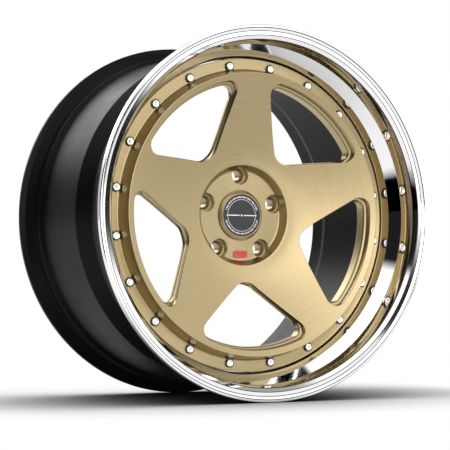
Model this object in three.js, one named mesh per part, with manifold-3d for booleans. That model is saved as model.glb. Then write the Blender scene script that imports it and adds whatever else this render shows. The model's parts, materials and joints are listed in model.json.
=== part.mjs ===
// A three-piece forged racing wheel, 20 x 10.5 inches: a five-spoke centre disc bolted into a polished
// outer lip and a black inner barrel. Millimetres. The axle lies along Y, the visible front faces -Y,
// +Z is up, and the origin is the middle of the wheel.
import * as THREE from "three";
import { mergeVertices } from "three/addons/utils/BufferGeometryUtils.js";
import Module from "manifold-3d";

const wasm = await Module();
wasm.setup();

// ---- Driving dimensions ----
const GAP = 0.3; // clearance left between pieces that touch
const TURN = 2 * Math.PI;
const STEPS = 40; // facets round the large turned pieces, with one flat facet at the bottom

const RIM_RADIUS = 271.5; // outside of both tyre flanges
const HALF_WIDTH = 148; // the wheel is 296 mm wide over the flanges
const BEAD_RADIUS = 254; // where the tyre bead sits

const SPOKES = 5;
const FIRST_SPOKE = 90; // degrees round the wheel
const FIRST_WINDOW = 54;
const STAR_RADIUS = 95; // where the edges of two neighbouring spokes would meet
const WINDOW_HALF_ANGLE = 50; // degrees between a window's middle line and each of its sides
const WINDOW_FRONT_RADIUS = 198; // outer arc of the stepped front part of a window
const WINDOW_RADIUS = 193.5; // outer arc of the part that goes right through
const WINDOW_CORNER = 12;
const WINDOW_NOSE = 22; // rounding of the window's inner corner
const LEDGE_DEPTH = 9; // from the face down to the window's ledge
const POCKET_WALL = 9; // thickness left under the pockets in the spokes' backs
const POCKET_START = 104; // the pockets lie between these radii
const POCKET_END = 184;
const LEDGE_INSET = 0.5; // the ledge's sides stop this far inside the window's own sides

const DISC_RADIUS = 230.3;
const DISC_RIM_FRONT = -81; // face that the bolt heads sit on
const DISC_RIM_BACK = -71;
const REGISTER_RADIUS = 203.5; // step that centres the lip and the barrel on the disc
const DISC_BACK = -65; // back of the window ring
const FACE_EDGE = -105; // front face at its outer edge
const FACE_HUB = -65.3; // front face at the edge of the hub pocket
const POCKET_FLOOR = -53;
const HUB_FACE = -22.4; // face that meets the car's hub, an offset of 22.4 mm
const HUB_PAD_RADIUS = 80;
const CENTRE_BORE = 36.3; // radius of the 72.6 mm bore
const CAP_HOLE = 31.6; // radius of the hole that the cap's legs pass

const BOLTS = 20;
const BOLT_CIRCLE = 219.2; // radius
const FIRST_BOLT = 9; // degrees round the wheel
const BOLT_RADIUS = 3.9;
const BOLT_HOLE = 4.4;
const BOLT_HEAD = 6.5;
const SPOT_FACE = 7.6; // radius of the shallow seat cut for each bolt head
const FLANGE_INNER = 204; // bore of the lip's and the barrel's bolting flanges
const FLANGE_OUTER = 237.6;
const FLANGE_THICK = 6;

const LUGS = 5;
const LUG_CIRCLE = 60; // radius of the 5 x 120 mm pattern
const LUG_POCKET = 14;
const LUG_HOLE = 7.6;
const LUG_SEAT_TOP = -43;
const LUG_SEAT_BOTTOM = -33.3;
const LUG_SEAT_RADIUS = 11.7;

const CAP_FACE = -58;
const CAP_RADIUS = 35.8;
const INLAY_RADIUS = 31;

const VALVE_ANGLE = 270; // degrees round the wheel, in the middle of the lowest window
const VALVE_RADIUS = 233.1; // the inside wall of the barrel where the valve passes
const VALVE_Y = -19.85;
const VALVE_TILT = 22.6; // degrees that the valve leans back from straight inwards, square to the wall
const BARREL_WALL = 5.5;

// ---- Materials ----
const paint = (color, roughness, metalness) =>
  new THREE.MeshStandardMaterial({ color, roughness, metalness });
const GOLD = { color: 0xb9a26a, roughness: 0.38, metalness: 1 };
const finishes = {
  gold: () => paint(GOLD.color, GOLD.roughness, GOLD.metalness),
  polished: () => paint(0xe8e8ea, 0.06, 1),
  black: () => paint(0x141415, 0.42, 0.3),
  chrome: () => paint(0xd9d9dc, 0.12, 1),
  steel: () => paint(0x8d8f92, 0.32, 1),
  rubber: () => paint(0x161616, 0.8, 0),
  carbon: () => paint(0x1b1c20, 0.3, 0.1),
  red: () => paint(0xc8302a, 0.35, 0),
};

// ---- Solids ----
const radians = (degrees) => (degrees * Math.PI) / 180;

function solid(geometry) {
  const bare = geometry.clone();
  bare.deleteAttribute("normal");
  bare.deleteAttribute("uv");
  const merged = mergeVertices(bare, 1e-3);
  return new wasm.Manifold(
    new wasm.Mesh({
      numProp: 3,
      vertProperties: merged.attributes.position.array,
      triVerts: new Uint32Array(merged.index.array),
    }),
  );
}

function geometryOf(shape) {
  const { numProp, vertProperties, triVerts } = shape.getMesh();
  const count = vertProperties.length / numProp;
  const positions = new Float32Array(count * 3);
  for (let i = 0; i < count; i++) {
    positions.set(vertProperties.subarray(i * numProp, i * numProp + 3), i * 3);
  }
  const geometry = new THREE.BufferGeometry();
  geometry.setAttribute("position", new THREE.BufferAttribute(positions, 3));
  geometry.setIndex(new THREE.BufferAttribute(triVerts, 1));
  return geometry;
}

// A section of [radius, y] points is turned round the Y axis. It runs round the material with the solid
// on its left as y grows on the outside, and closes on itself or on the axis. The middle of each facet
// lies at the section's radius, and facets are centred on 0, 90, 180 and 270 degrees.
function turned(section, steps = STEPS) {
  const toCorner = 1 / Math.cos(Math.PI / steps);
  const points = section.map(([radius, y]) => new THREE.Vector2(radius * toCorner, y));
  const onAxis = section[0][0] === 0 && section.at(-1)[0] === 0;
  if (!onAxis) points.push(points[0].clone());
  return new THREE.LatheGeometry(points, steps, TURN / steps / 2);
}

const cylinder = (radius, y0, y1, steps) =>
  turned([[0, y0], [radius, y0], [radius, y1], [0, y1]], steps);

// Puts a piece made on the Y axis at a radius and an angle round the wheel, in degrees from +X towards +Z.
function placedRound(geometry, radius, degrees) {
  const copy = geometry.clone();
  copy.translate(0, 0, radius);
  copy.rotateY(radians(90 - degrees));
  return copy;
}

function cutRound(body, tool, count, radius, firstDegrees) {
  let result = body;
  for (let i = 0; i < count; i++) {
    result = result.subtract(solid(placedRound(tool, radius, firstDegrees + (i * 360) / count)));
  }
  return result;
}

// An outline drawn in (x, z), extruded along Y from y0 to y1.
function plate(shape, y0, y1, curveSegments = 3) {
  const geometry = new THREE.ExtrudeGeometry(shape, { depth: y1 - y0, bevelEnabled: false, curveSegments });
  geometry.rotateX(Math.PI / 2);
  geometry.translate(0, y1, 0);
  return geometry;
}

// ---- Centre disc ----
// Height of the concave front face: level at the hub, steep half way, and easing off at the edge.
const faceCurve = new THREE.CubicBezierCurve(
  new THREE.Vector2(75.5, FACE_HUB),
  new THREE.Vector2(112, -67),
  new THREE.Vector2(164, -90),
  new THREE.Vector2(206.5, FACE_EDGE),
);

// A window points outwards along +Z: two straight sides that spread from its nose to a round outer arc.
// An inset moves both sides inwards.
function windowShape(outerRadius, inset) {
  const half = radians(WINDOW_HALF_ANGLE);
  const side = new THREE.Vector2(Math.sin(half), Math.cos(half));
  const inward = new THREE.Vector2(-Math.cos(half), Math.sin(half));
  const apex = STAR_RADIUS + inset / Math.sin(half);
  const noseCentre = apex + WINDOW_NOSE / Math.sin(half);
  // Corner circle: it touches the side and lies inside the outer arc.
  const reach = outerRadius - WINDOW_CORNER;
  const base = new THREE.Vector2(0, apex).addScaledVector(inward, WINDOW_CORNER);
  const along = -base.dot(side) + Math.sqrt(base.dot(side) ** 2 - base.lengthSq() + reach ** 2);
  const cornerCentre = base.clone().addScaledVector(side, along);
  const arcAngle = Math.atan2(cornerCentre.y, cornerCentre.x);
  const sideAngle = -half; // direction square to the right-hand side, out of the window
  const { x, y } = cornerCentre;
  const shape = new THREE.Shape();
  shape.absarc(x, y, WINDOW_CORNER, sideAngle, arcAngle, false);
  shape.absarc(0, 0, outerRadius, arcAngle, Math.PI - arcAngle, false);
  shape.absarc(-x, y, WINDOW_CORNER, Math.PI - arcAngle, Math.PI - sideAngle, false);
  shape.absarc(0, noseCentre, WINDOW_NOSE, Math.PI - sideAngle, TURN + sideAngle, false);
  return shape;
}

function centreDisc() {
  const face = faceCurve.getPoints(4).map((p) => [p.x, p.y]);
  const section = [
    [CENTRE_BORE, HUB_FACE],
    [CENTRE_BORE, -45],
    [CAP_HOLE, -45],
    [CAP_HOLE, -50.8],
    [37.2, -50.8],
    [37.2, POCKET_FLOOR],
    [64.5, POCKET_FLOOR],
    [68, -54.5],
    [73.8, -63.8],
    ...face,
    [208.3, FACE_EDGE + 1.4],
    [213.6, DISC_RIM_FRONT - 2],
    [215.6, DISC_RIM_FRONT],
    [DISC_RADIUS - 0.8, DISC_RIM_FRONT],
    [DISC_RADIUS, DISC_RIM_FRONT + 0.8],
    [DISC_RADIUS, DISC_RIM_BACK],
    [REGISTER_RADIUS, DISC_RIM_BACK],
    [REGISTER_RADIUS, DISC_BACK],
    [201.5, DISC_BACK],
    [193, -74],
    [172, -72.6],
    [148, -66.8],
    [106, -53.2],
    [84, HUB_FACE - 4.6],
    [HUB_PAD_RADIUS, HUB_FACE],
  ];
  let disc = solid(turned(section));
  const through = plate(windowShape(WINDOW_RADIUS, 0), -130, 0);
  disc = cutRound(disc, through, SPOKES, 0, FIRST_WINDOW);
  disc = disc.subtract(ledges());
  disc = cutRound(disc, cylinder(BOLT_HOLE, -100, -60, 8), BOLTS, BOLT_CIRCLE, FIRST_BOLT);
  disc = cutRound(disc, cylinder(SPOT_FACE, -110, DISC_RIM_FRONT + GAP, 8), BOLTS, BOLT_CIRCLE, FIRST_BOLT);
  const seatRoom = cylinder(LUG_SEAT_RADIUS + GAP, -60, LUG_SEAT_BOTTOM + GAP, 12);
  disc = cutRound(disc, cylinder(LUG_POCKET, -80, LUG_SEAT_TOP + GAP, 16), LUGS, LUG_CIRCLE, FIRST_SPOKE);
  disc = cutRound(disc, seatRoom, LUGS, LUG_CIRCLE, FIRST_SPOKE);
  disc = cutRound(disc, cylinder(LUG_HOLE, -60, 0, 12), LUGS, LUG_CIRCLE, FIRST_SPOKE);
  return disc.subtract(spokePockets());
}

// A straight-sided tool repeated round the disc, kept only between two surfaces that follow the front face.
function roundTools(tool, firstDegrees, innerRadius, outerRadius, nearest, farthest) {
  const between = (radius) => [faceHeight(radius) + nearest, faceHeight(radius) + farthest];
  const [innerFront, innerBack] = between(innerRadius);
  const [outerFront, outerBack] = between(outerRadius);
  const layer = solid(turned([
    [innerRadius, innerFront],
    [outerRadius, outerFront],
    [outerRadius, outerBack],
    [innerRadius, innerBack],
  ]));
  let all = null;
  for (let i = 0; i < SPOKES; i++) {
    const one = solid(placedRound(tool, 0, firstDegrees + (i * 360) / SPOKES)).intersect(layer);
    all = all ? all.add(one) : one;
  }
  return all;
}

function faceHeight(radius) {
  const points = faceCurve.getPoints(60);
  const next = points.findIndex((p) => p.x >= radius);
  const [a, b] = [points[next - 1], points[next]];
  return a.y + ((radius - a.x) / (b.x - a.x)) * (b.y - a.y);
}

// The stepped front part of the windows, down to a ledge that follows the face.
function ledges() {
  const tool = plate(windowShape(WINDOW_FRONT_RADIUS, LEDGE_INSET), -140, -60);
  const innerRadius = 150; // well inside the part of the windows that goes right through
  const aboveFace = -20;
  return roundTools(tool, FIRST_WINDOW, innerRadius, WINDOW_FRONT_RADIUS + 3, aboveFace, LEDGE_DEPTH);
}

// Weight-saving pockets in the back of the spokes, down to a wall that follows the face.
function spokePockets() {
  const shape = new THREE.Shape();
  shape.moveTo(-34, 110);
  shape.lineTo(34, 110);
  shape.lineTo(20, 168);
  shape.absarc(10, 168, 10, 0, Math.PI / 2, false);
  shape.absarc(-10, 168, 10, Math.PI / 2, Math.PI, false);
  shape.closePath();
  const behindDisc = 60;
  const tool = plate(shape, -120, 0);
  return roundTools(tool, FIRST_SPOKE, POCKET_START, POCKET_END, POCKET_WALL, behindDisc);
}

// ---- Rim halves ----
function outerLip() {
  const back = DISC_RIM_BACK + GAP;
  return turned([
    [FLANGE_INNER, back],
    [DISC_RADIUS + 0.9, back],
    [DISC_RADIUS + 0.9, -79.5],
    [234.3, -98],
    [247.9, -113.2],
    [248.4, -131],
    [250.6, -139.5],
    [256.4, -144.9],
    [262.5, -145],
    [266.8, -147],
    [268, -HALF_WIDTH],
    [270.5, -HALF_WIDTH],
    [RIM_RADIUS, -HALF_WIDTH + 1.5],
    [RIM_RADIUS, -139],
    [260, -137.5],
    [BEAD_RADIUS, -131],
    [BEAD_RADIUS - 1.4, -112],
    [BEAD_RADIUS + 0.6, -108.5],
    [243.5, -88],
    [FLANGE_OUTER, -74],
    [FLANGE_OUTER, back + FLANGE_THICK],
    [FLANGE_INNER, back + FLANGE_THICK],
  ]);
}

function innerBarrel() {
  const front = DISC_RIM_BACK + 2 * GAP + FLANGE_THICK;
  const back = front + FLANGE_THICK;
  return turned([
    [FLANGE_INNER, front],
    [FLANGE_OUTER, front],
    [FLANGE_OUTER, back - 1.5],
    [232.6, -53],
    [232.6, -36],
    [245.2, -5.7],
    [248.5, 100],
    [255, 107],
    [255, 110.5],
    [BEAD_RADIUS - 1, 113],
    [BEAD_RADIUS, 130],
    [264.4, 138],
    [RIM_RADIUS, 140.5],
    [RIM_RADIUS, HALF_WIDTH - 2],
    [269.5, HALF_WIDTH],
    [253, HALF_WIDTH],
    [248.3, 143.5],
    [247.6, 112],
    [242.6, 98],
    [239.6, -5],
    [227.2, -34.7],
    [227.2, back],
    [FLANGE_INNER, back],
  ]);
}

// Bead of sealant over the joint of the two halves, on the tyre's side.
const sealantBead = () =>
  turned([
    [FLANGE_OUTER + GAP, -71],
    [FLANGE_OUTER + 2.6, -67],
    [FLANGE_OUTER + 2.6, -63],
    [FLANGE_OUTER + GAP, -60.5],
  ]);

// ---- Fasteners ----
const UNDER_HEAD = DISC_RIM_FRONT;
const NUT_FRONT = DISC_RIM_BACK + 3 * GAP + 2 * FLANGE_THICK;
const NUT_HEIGHT = 6.5;

const rimBolt = () =>
  turned([
    [0, UNDER_HEAD - 4],
    [4.4, UNDER_HEAD - 4],
    [BOLT_HEAD, UNDER_HEAD - 2],
    [BOLT_HEAD, UNDER_HEAD],
    [BOLT_RADIUS, UNDER_HEAD],
    [BOLT_RADIUS, NUT_FRONT + NUT_HEIGHT + 3],
    [0, NUT_FRONT + NUT_HEIGHT + 3],
  ], 8);

function hexNut(acrossFlats, height, holeRadius, holeSteps) {
  const hex = new THREE.Shape();
  for (let i = 0; i < 6; i++) {
    const angle = radians(i * 60);
    const corner = acrossFlats / 2 / Math.cos(radians(30));
    hex[i ? "lineTo" : "moveTo"](corner * Math.cos(angle), corner * Math.sin(angle));
  }
  hex.closePath();
  return solid(plate(hex, 0, height)).subtract(solid(cylinder(holeRadius, -1, height + 1, holeSteps)));
}

// ---- Lug seats ----
const lugSeat = () =>
  turned([
    [LUG_SEAT_RADIUS, LUG_SEAT_TOP],
    [LUG_SEAT_RADIUS, LUG_SEAT_BOTTOM],
    [LUG_HOLE + 0.2, LUG_SEAT_BOTTOM],
    [LUG_HOLE + 0.2, -37.5],
    [LUG_SEAT_RADIUS - 0.8, LUG_SEAT_TOP],
  ], 12);

// ---- Centre cap ----
const CAP_LEGS = 6;
const LEG_TIP = -38;

function capBody() {
  const section = [
    [0, CAP_FACE + 1.8],
    [INLAY_RADIUS + GAP, CAP_FACE + 1.8],
    [INLAY_RADIUS + GAP, CAP_FACE],
    [INLAY_RADIUS + 1.4, CAP_FACE],
    [CAP_RADIUS, CAP_FACE + 3],
    [CAP_RADIUS, POCKET_FLOOR + 1.6],
    [CAP_HOLE - 0.6, POCKET_FLOOR + 1.6],
    [CAP_HOLE - 0.6, LEG_TIP - 1],
    [CAP_HOLE - 2, LEG_TIP],
    [27.8, LEG_TIP],
    [27.8, POCKET_FLOOR + 0.6],
    [0, POCKET_FLOOR + 0.6],
  ];
  const slot = new THREE.BoxGeometry(5, 11, 12);
  slot.translate(0, LEG_TIP - 4.5, 0);
  return cutRound(solid(turned(section, 30)), slot, CAP_LEGS, 30, 0);
}

const capInlay = () => cylinder(INLAY_RADIUS, CAP_FACE + 0.3, CAP_FACE + 1.5, 30);

function wireRing(ringRadius, wireRadius, y, steps) {
  const section = [];
  for (let i = 0; i < 6; i++) {
    const angle = radians(i * 60);
    section.push([ringRadius + wireRadius * Math.cos(angle), y + wireRadius * Math.sin(angle)]);
  }
  return turned(section, steps);
}

// ---- Badge ----
function badge() {
  const width = 24, height = 11, corner = 3.5;
  const shape = new THREE.Shape();
  const x = width / 2 - corner, z = height / 2 - corner;
  shape.absarc(x, z, corner, 0, Math.PI / 2, false);
  shape.absarc(-x, z, corner, Math.PI / 2, Math.PI, false);
  shape.absarc(-x, -z, corner, Math.PI, 1.5 * Math.PI, false);
  shape.absarc(x, -z, corner, 1.5 * Math.PI, TURN, false);
  return plate(shape, POCKET_FLOOR - GAP - 1, POCKET_FLOOR - GAP, 4);
}

// ---- Valve ----
// Made on the Y axis with y = 0 on the barrel's inside wall, +Y pointing into the wheel, away from the tyre.
const STEM_TIP = 26;

const valveStem = () =>
  turned([
    [0, -BARREL_WALL - 5.5],
    [8, -BARREL_WALL - 5.5],
    [8, -BARREL_WALL - 3],
    [4.4, -BARREL_WALL - 3],
    [4.4, 9],
    [3.9, 10],
    [3.9, STEM_TIP],
    [2.2, STEM_TIP],
    [2.2, 8],
    [0, 8],
  ], 12);

const valveGrommet = () =>
  turned([
    [4.8, -BARREL_WALL - 3 + GAP],
    [8.4, -BARREL_WALL - 3 + GAP],
    [8.4, -BARREL_WALL - GAP],
    [5.5, -BARREL_WALL - GAP],
    [5.5, -GAP],
    [4.8, -GAP],
  ], 12);

const valvePin = () =>
  turned([
    [0, 10],
    [0.8, 10],
    [0.8, STEM_TIP - 5],
    [1.7, STEM_TIP - 5],
    [1.7, STEM_TIP - 4],
    [0.8, STEM_TIP - 4],
    [0.8, STEM_TIP - 0.6],
    [0, STEM_TIP - 0.6],
  ], 8);

const valveCap = () =>
  turned([
    [0, STEM_TIP + GAP],
    [4.3, STEM_TIP + GAP],
    [4.3, 16],
    [5.3, 16],
    [5.3, STEM_TIP + 1],
    [4.2, STEM_TIP + 2.5],
    [0, STEM_TIP + 2.5],
  ], 12);

// ---- Assembly ----
const wheel = new THREE.Group();
wheel.name = "wheel";

function add(name, piece, finish, parent = wheel) {
  const mesh = new THREE.Mesh(piece.isBufferGeometry ? piece : geometryOf(piece), finishes[finish]());
  mesh.name = name;
  parent.add(mesh);
  return mesh;
}

// Carries a piece from the Y axis to the valve's place in the barrel wall.
function atValve(geometry) {
  const copy = geometry.clone();
  copy.rotateX(radians(VALVE_TILT - 90));
  copy.translate(0, VALVE_Y, VALVE_RADIUS);
  copy.rotateY(radians(90 - VALVE_ANGLE));
  return copy;
}

const boltHole = cylinder(BOLT_HOLE, -90, -50, 8);
const valveHole = atValve(cylinder(5.8, -20, 20, 12));
const lip = cutRound(solid(outerLip()), boltHole, BOLTS, BOLT_CIRCLE, FIRST_BOLT);
const drilledBarrel = cutRound(solid(innerBarrel()), boltHole, BOLTS, BOLT_CIRCLE, FIRST_BOLT);
const barrel = drilledBarrel.subtract(solid(valveHole));

add("centre_disc", centreDisc(), "gold");
add("outer_lip", lip, "polished");
add("inner_barrel", barrel, "black");
add("sealant_bead", sealantBead(), "rubber");

const bolt = rimBolt();
const nut = geometryOf(hexNut(12, NUT_HEIGHT, BOLT_HOLE, 8)).translate(0, NUT_FRONT, 0);
for (let i = 0; i < BOLTS; i++) {
  const number = String(i + 1).padStart(2, "0");
  const degrees = FIRST_BOLT + (i * 360) / BOLTS;
  add("rim_bolt_" + number, placedRound(bolt, BOLT_CIRCLE, degrees), "chrome");
  add("rim_nut_" + number, placedRound(nut, BOLT_CIRCLE, degrees), "steel");
}

for (let i = 0; i < LUGS; i++) {
  add("lug_seat_" + (i + 1), placedRound(lugSeat(), LUG_CIRCLE, FIRST_SPOKE + (i * 360) / LUGS), "steel");
}

add("cap_body", capBody(), "gold");
add("cap_inlay", capInlay(), "carbon");
add("cap_spring_ring", wireRing(26.4, 1, -43, 24), "steel");

const badgeMesh = add("badge", badge(), "red");
badgeMesh.position.z = -57.6;

add("valve_stem", atValve(valveStem()), "steel");
add("valve_grommet", atValve(valveGrommet()), "rubber");
add("valve_nut", atValve(geometryOf(hexNut(13, 3.5, 4.8, 12)).translate(0, GAP, 0)), "steel");
add("valve_pin", atValve(valvePin()), "steel");
add("valve_cap", atValve(valveCap()), "rubber");

export default wheel;
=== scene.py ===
import json
import math

import bmesh
import bpy
import numpy as np
from mathutils import Matrix, Vector
from mathutils.geometry import delaunay_2d_cdt

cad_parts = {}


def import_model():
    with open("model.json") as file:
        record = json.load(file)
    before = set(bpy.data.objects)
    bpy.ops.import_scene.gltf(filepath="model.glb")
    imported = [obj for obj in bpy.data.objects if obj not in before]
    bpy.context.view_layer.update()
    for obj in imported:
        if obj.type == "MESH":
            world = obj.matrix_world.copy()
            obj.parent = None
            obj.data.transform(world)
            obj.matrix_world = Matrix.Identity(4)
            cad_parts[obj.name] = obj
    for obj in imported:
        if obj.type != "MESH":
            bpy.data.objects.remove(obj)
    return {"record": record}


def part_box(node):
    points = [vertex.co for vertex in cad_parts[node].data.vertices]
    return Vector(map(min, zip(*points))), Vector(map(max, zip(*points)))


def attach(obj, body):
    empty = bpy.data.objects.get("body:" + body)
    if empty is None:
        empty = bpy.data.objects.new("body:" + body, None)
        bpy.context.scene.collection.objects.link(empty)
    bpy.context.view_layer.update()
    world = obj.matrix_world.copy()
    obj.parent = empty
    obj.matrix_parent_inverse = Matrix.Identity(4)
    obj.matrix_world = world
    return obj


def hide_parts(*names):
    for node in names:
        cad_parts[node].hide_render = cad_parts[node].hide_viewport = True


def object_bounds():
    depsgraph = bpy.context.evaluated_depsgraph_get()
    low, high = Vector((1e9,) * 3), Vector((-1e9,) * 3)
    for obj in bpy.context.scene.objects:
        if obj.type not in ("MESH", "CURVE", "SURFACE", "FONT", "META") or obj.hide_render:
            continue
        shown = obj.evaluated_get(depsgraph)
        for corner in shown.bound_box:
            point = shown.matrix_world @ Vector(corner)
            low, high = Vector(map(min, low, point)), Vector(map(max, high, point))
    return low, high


# A three-piece forged racing wheel. The axle lies along Y and the visible front faces -Y. Shapes are
# written in millimetres as [radius, y], as on a turner's drawing, and their meshes are in metres.
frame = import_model()
cad_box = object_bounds()

MM = 0.001
TURN = 2 * math.pi
STEPS = 240  # segments round the large turned surfaces
FILLET = 0.4  # rounding of a corner that states none

SPOKES = 5
WINDOW_ANGLES = [54 + 72 * k for k in range(SPOKES)]
SPOKE_ANGLES = [90 + 72 * k for k in range(SPOKES)]

BODY_OF = {node: body for body, nodes in frame["record"]["behaviour"]["bodies"].items() for node in nodes}


# ---------------------------------------------------------------- outlines
def fillet(before, corner, after, radius):
    """Points of the arc that rounds a corner, from the line that comes in to the line that goes out."""
    corner = np.array(corner, float)
    come = np.array(before, float) - corner
    go = np.array(after, float) - corner
    come_length = np.linalg.norm(come)
    go_length = np.linalg.norm(go)
    come /= come_length
    go /= go_length
    half = math.acos(float(np.clip(come @ go, -1, 1))) / 2
    if half > math.radians(89):
        return [corner]
    reach = min(radius / math.tan(half), 0.48 * come_length, 0.48 * go_length)
    radius = reach * math.tan(half)
    centre = corner + (come + go) / np.linalg.norm(come + go) * (radius / math.sin(half))
    start = corner + come * reach - centre
    end = corner + go * reach - centre
    sweep = math.pi - 2 * half
    count = max(2, round(sweep / math.radians(12)))
    points = []
    for i in range(count + 1):
        t = i / count
        along = math.sin((1 - t) * sweep) * start + math.sin(t * sweep) * end
        points.append(centre + along / math.sin(sweep))
    return points


def rounded(corners, closed=True):
    """An outline with its corners rounded. A corner is [radius, y] or [radius, y, fillet]."""
    points = []
    count = len(corners)
    for i, corner in enumerate(corners):
        size = corner[2] if len(corner) > 2 else FILLET
        if size == 0 or (not closed and i in (0, count - 1)):
            points.append(np.array(corner[:2], float))
        else:
            before = corners[i - 1][:2]
            after = corners[(i + 1) % count][:2]
            points.extend(fillet(before, corner[:2], after, size))
    return points


def circle_angles(steps=STEPS):
    return np.arange(steps) * TURN / steps


def turned_rings(outline, steps=STEPS):
    """One ring of points round the axle for each point of an outline."""
    angles = circle_angles(steps)
    return [
        np.stack([r * np.cos(angles), np.full(steps, y), r * np.sin(angles)], 1) for r, y in outline
    ]


def turned_about(points, degrees):
    """Turns points that were drawn along +Z round the axle, so that they lie at that angle from +X."""
    turn = Matrix.Rotation(-math.radians(degrees - 90), 3, "Y")
    return np.array(points) @ np.array(turn).T


# ---------------------------------------------------------------- meshes
class Skin:
    """Collects strips and patches of surface, and welds them into one mesh."""

    def __init__(self):
        self.points = []
        self.faces = []
        self.count = 0

    def add(self, points, faces):
        self.faces.extend([[i + self.count for i in face] for face in faces])
        self.points.append(np.asarray(points, float).reshape(-1, 3))
        self.count += len(self.points[-1])

    def strip(self, rings, closed=False):
        """Quads between neighbouring rings, each ring closed on itself."""
        around = len(rings[0])
        faces = []
        for j in range(len(rings) if closed else len(rings) - 1):
            a = j * around
            b = (j + 1) % len(rings) * around
            for i in range(around):
                k = (i + 1) % around
                faces.append([a + i, a + k, b + k, b + i])
        self.add(np.concatenate(rings), faces)

    def cap(self, ring):
        """A flat fan that closes a ring."""
        around = len(ring)
        faces = [[i, (i + 1) % around, around] for i in range(around)]
        self.add(np.concatenate([ring, [np.mean(ring, 0)]]), faces)

    def mesh(self, name):
        mesh = bpy.data.meshes.new(name)
        mesh.from_pydata((np.concatenate(self.points) * MM).tolist(), [], self.faces)
        work = bmesh.new()
        work.from_mesh(mesh)
        bmesh.ops.remove_doubles(work, verts=work.verts, dist=2e-6)
        bmesh.ops.dissolve_degenerate(work, edges=work.edges, dist=1e-7)
        bmesh.ops.recalc_face_normals(work, faces=work.faces)
        work.to_mesh(mesh)
        work.free()
        return mesh


def dressed(mesh, material, sharp=34):
    """Smooth faces with sharp edges by angle."""
    mesh.polygons.foreach_set("use_smooth", [True] * len(mesh.polygons))
    mesh.set_sharp_from_angle(angle=math.radians(sharp))
    mesh.materials.clear()
    mesh.materials.append(material)
    return mesh


def piece_of(mesh, name, where=None):
    """An object in the scene, whose flat parts are shaded flat beside their rounded edges."""
    piece = bpy.data.objects.new(name, mesh)
    bpy.context.scene.collection.objects.link(piece)
    if where is not None:
        piece.matrix_world = where
    modifier = piece.modifiers.new("flat_parts_stay_flat", "WEIGHTED_NORMAL")
    modifier.keep_sharp = True
    modifier.weight = 60
    return piece


def finished(mesh, name, material, sharp=34):
    mesh.name = name
    return piece_of(dressed(mesh, material, sharp), name)


def round_the_wheel(radius, degrees):
    """Carries a piece that was made on the axle to a place round the wheel."""
    turn = Matrix.Rotation(math.radians(90 - degrees), 4, "Y")
    return turn @ Matrix.Translation((0, 0, radius * MM))


def carved(mesh, tool_mesh):
    """The first mesh with the tool cut out of it."""
    body = bpy.data.objects.new("body", mesh)
    tool = bpy.data.objects.new("tool", tool_mesh)
    for helper in (body, tool):
        bpy.context.scene.collection.objects.link(helper)
    cut = body.modifiers.new("cut", "BOOLEAN")
    cut.operation = "DIFFERENCE"
    cut.object = tool
    cut.solver = "MANIFOLD"
    graph = bpy.context.evaluated_depsgraph_get()
    result = bpy.data.meshes.new_from_object(body.evaluated_get(graph))
    bpy.data.objects.remove(body)
    bpy.data.objects.remove(tool)
    return result


def stand_for(piece, *nodes):
    """The piece moves with its CAD nodes' body and is shown in their place."""
    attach(piece, BODY_OF[nodes[0]])
    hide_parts(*nodes)
    return piece


def turned(name, corners, material, steps=STEPS, closed=True):
    """A turned piece. An open outline starts and ends on the axle."""
    skin = Skin()
    outline = rounded(corners, closed)
    if not closed:
        outline = outline[1:-1]
    rings = turned_rings(outline, steps)
    skin.strip(rings, closed)
    if not closed:
        skin.cap(rings[0])
        skin.cap(rings[-1])
    return finished(skin.mesh(name), name, material)


# ---------------------------------------------------------------- materials
def add_node(tree, kind, inputs=None, **settings):
    node = tree.nodes.new(kind)
    for key, value in settings.items():
        setattr(node, key, value)
    for key, value in (inputs or {}).items():
        if isinstance(value, bpy.types.NodeSocket):
            tree.links.new(value, node.inputs[key])
        else:
            node.inputs[key].default_value = value
    return node


def calculate(tree, operation, first, second=0.0):
    node = add_node(tree, "ShaderNodeMath", {0: first, 1: second}, operation=operation)
    return node.outputs[0]


def blank_material(name, color, metallic, roughness, **more):
    """A material with a principled shader, whose uniform values are set on its own sockets."""
    material = bpy.data.materials.new(name)
    material.use_nodes = True
    tree = material.node_tree
    shader = tree.nodes["Principled BSDF"]
    shader.inputs["Base Color"].default_value = (*color, 1)
    shader.inputs["Metallic"].default_value = metallic
    shader.inputs["Roughness"].default_value = roughness
    for key, value in more.items():
        shader.inputs[key.replace("_", " ")].default_value = value
    return material, tree, shader


def place(tree):
    """Object coordinates, split, in metres."""
    coordinates = add_node(tree, "ShaderNodeTexCoord").outputs["Object"]
    split = add_node(tree, "ShaderNodeSeparateXYZ", {0: coordinates})
    return coordinates, split.outputs[0], split.outputs[1], split.outputs[2]


def axle_distance(tree, x, z):
    squares = calculate(tree, "ADD", calculate(tree, "MULTIPLY", x, x), calculate(tree, "MULTIPLY", z, z))
    return calculate(tree, "SQRT", squares)


def lathe_marks(tree, per_metre, along):
    """A vector for noise that is fine across a turned surface and long round the axle."""
    _, x, y, z = place(tree)
    radius = axle_distance(tree, x, z)
    angle = calculate(tree, "ARCTAN2", calculate(tree, "ABSOLUTE", z), x)
    vector = add_node(tree, "ShaderNodeCombineXYZ", {
        0: calculate(tree, "MULTIPLY", radius, per_metre),
        1: calculate(tree, "MULTIPLY", angle, along),
        2: calculate(tree, "MULTIPLY", y, per_metre),
    })
    return vector.outputs[0]


def noise(tree, vector, scale, detail=4.0, rough=0.55):
    node = add_node(tree, "ShaderNodeTexNoise", {"Vector": vector, "Scale": scale, "Detail": detail,
                                                  "Roughness": rough})
    return node.outputs["Fac"]


def spots(tree, scale, detail=3.0):
    """Noise that is even in all directions."""
    return noise(tree, place(tree)[0], scale, detail)


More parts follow.
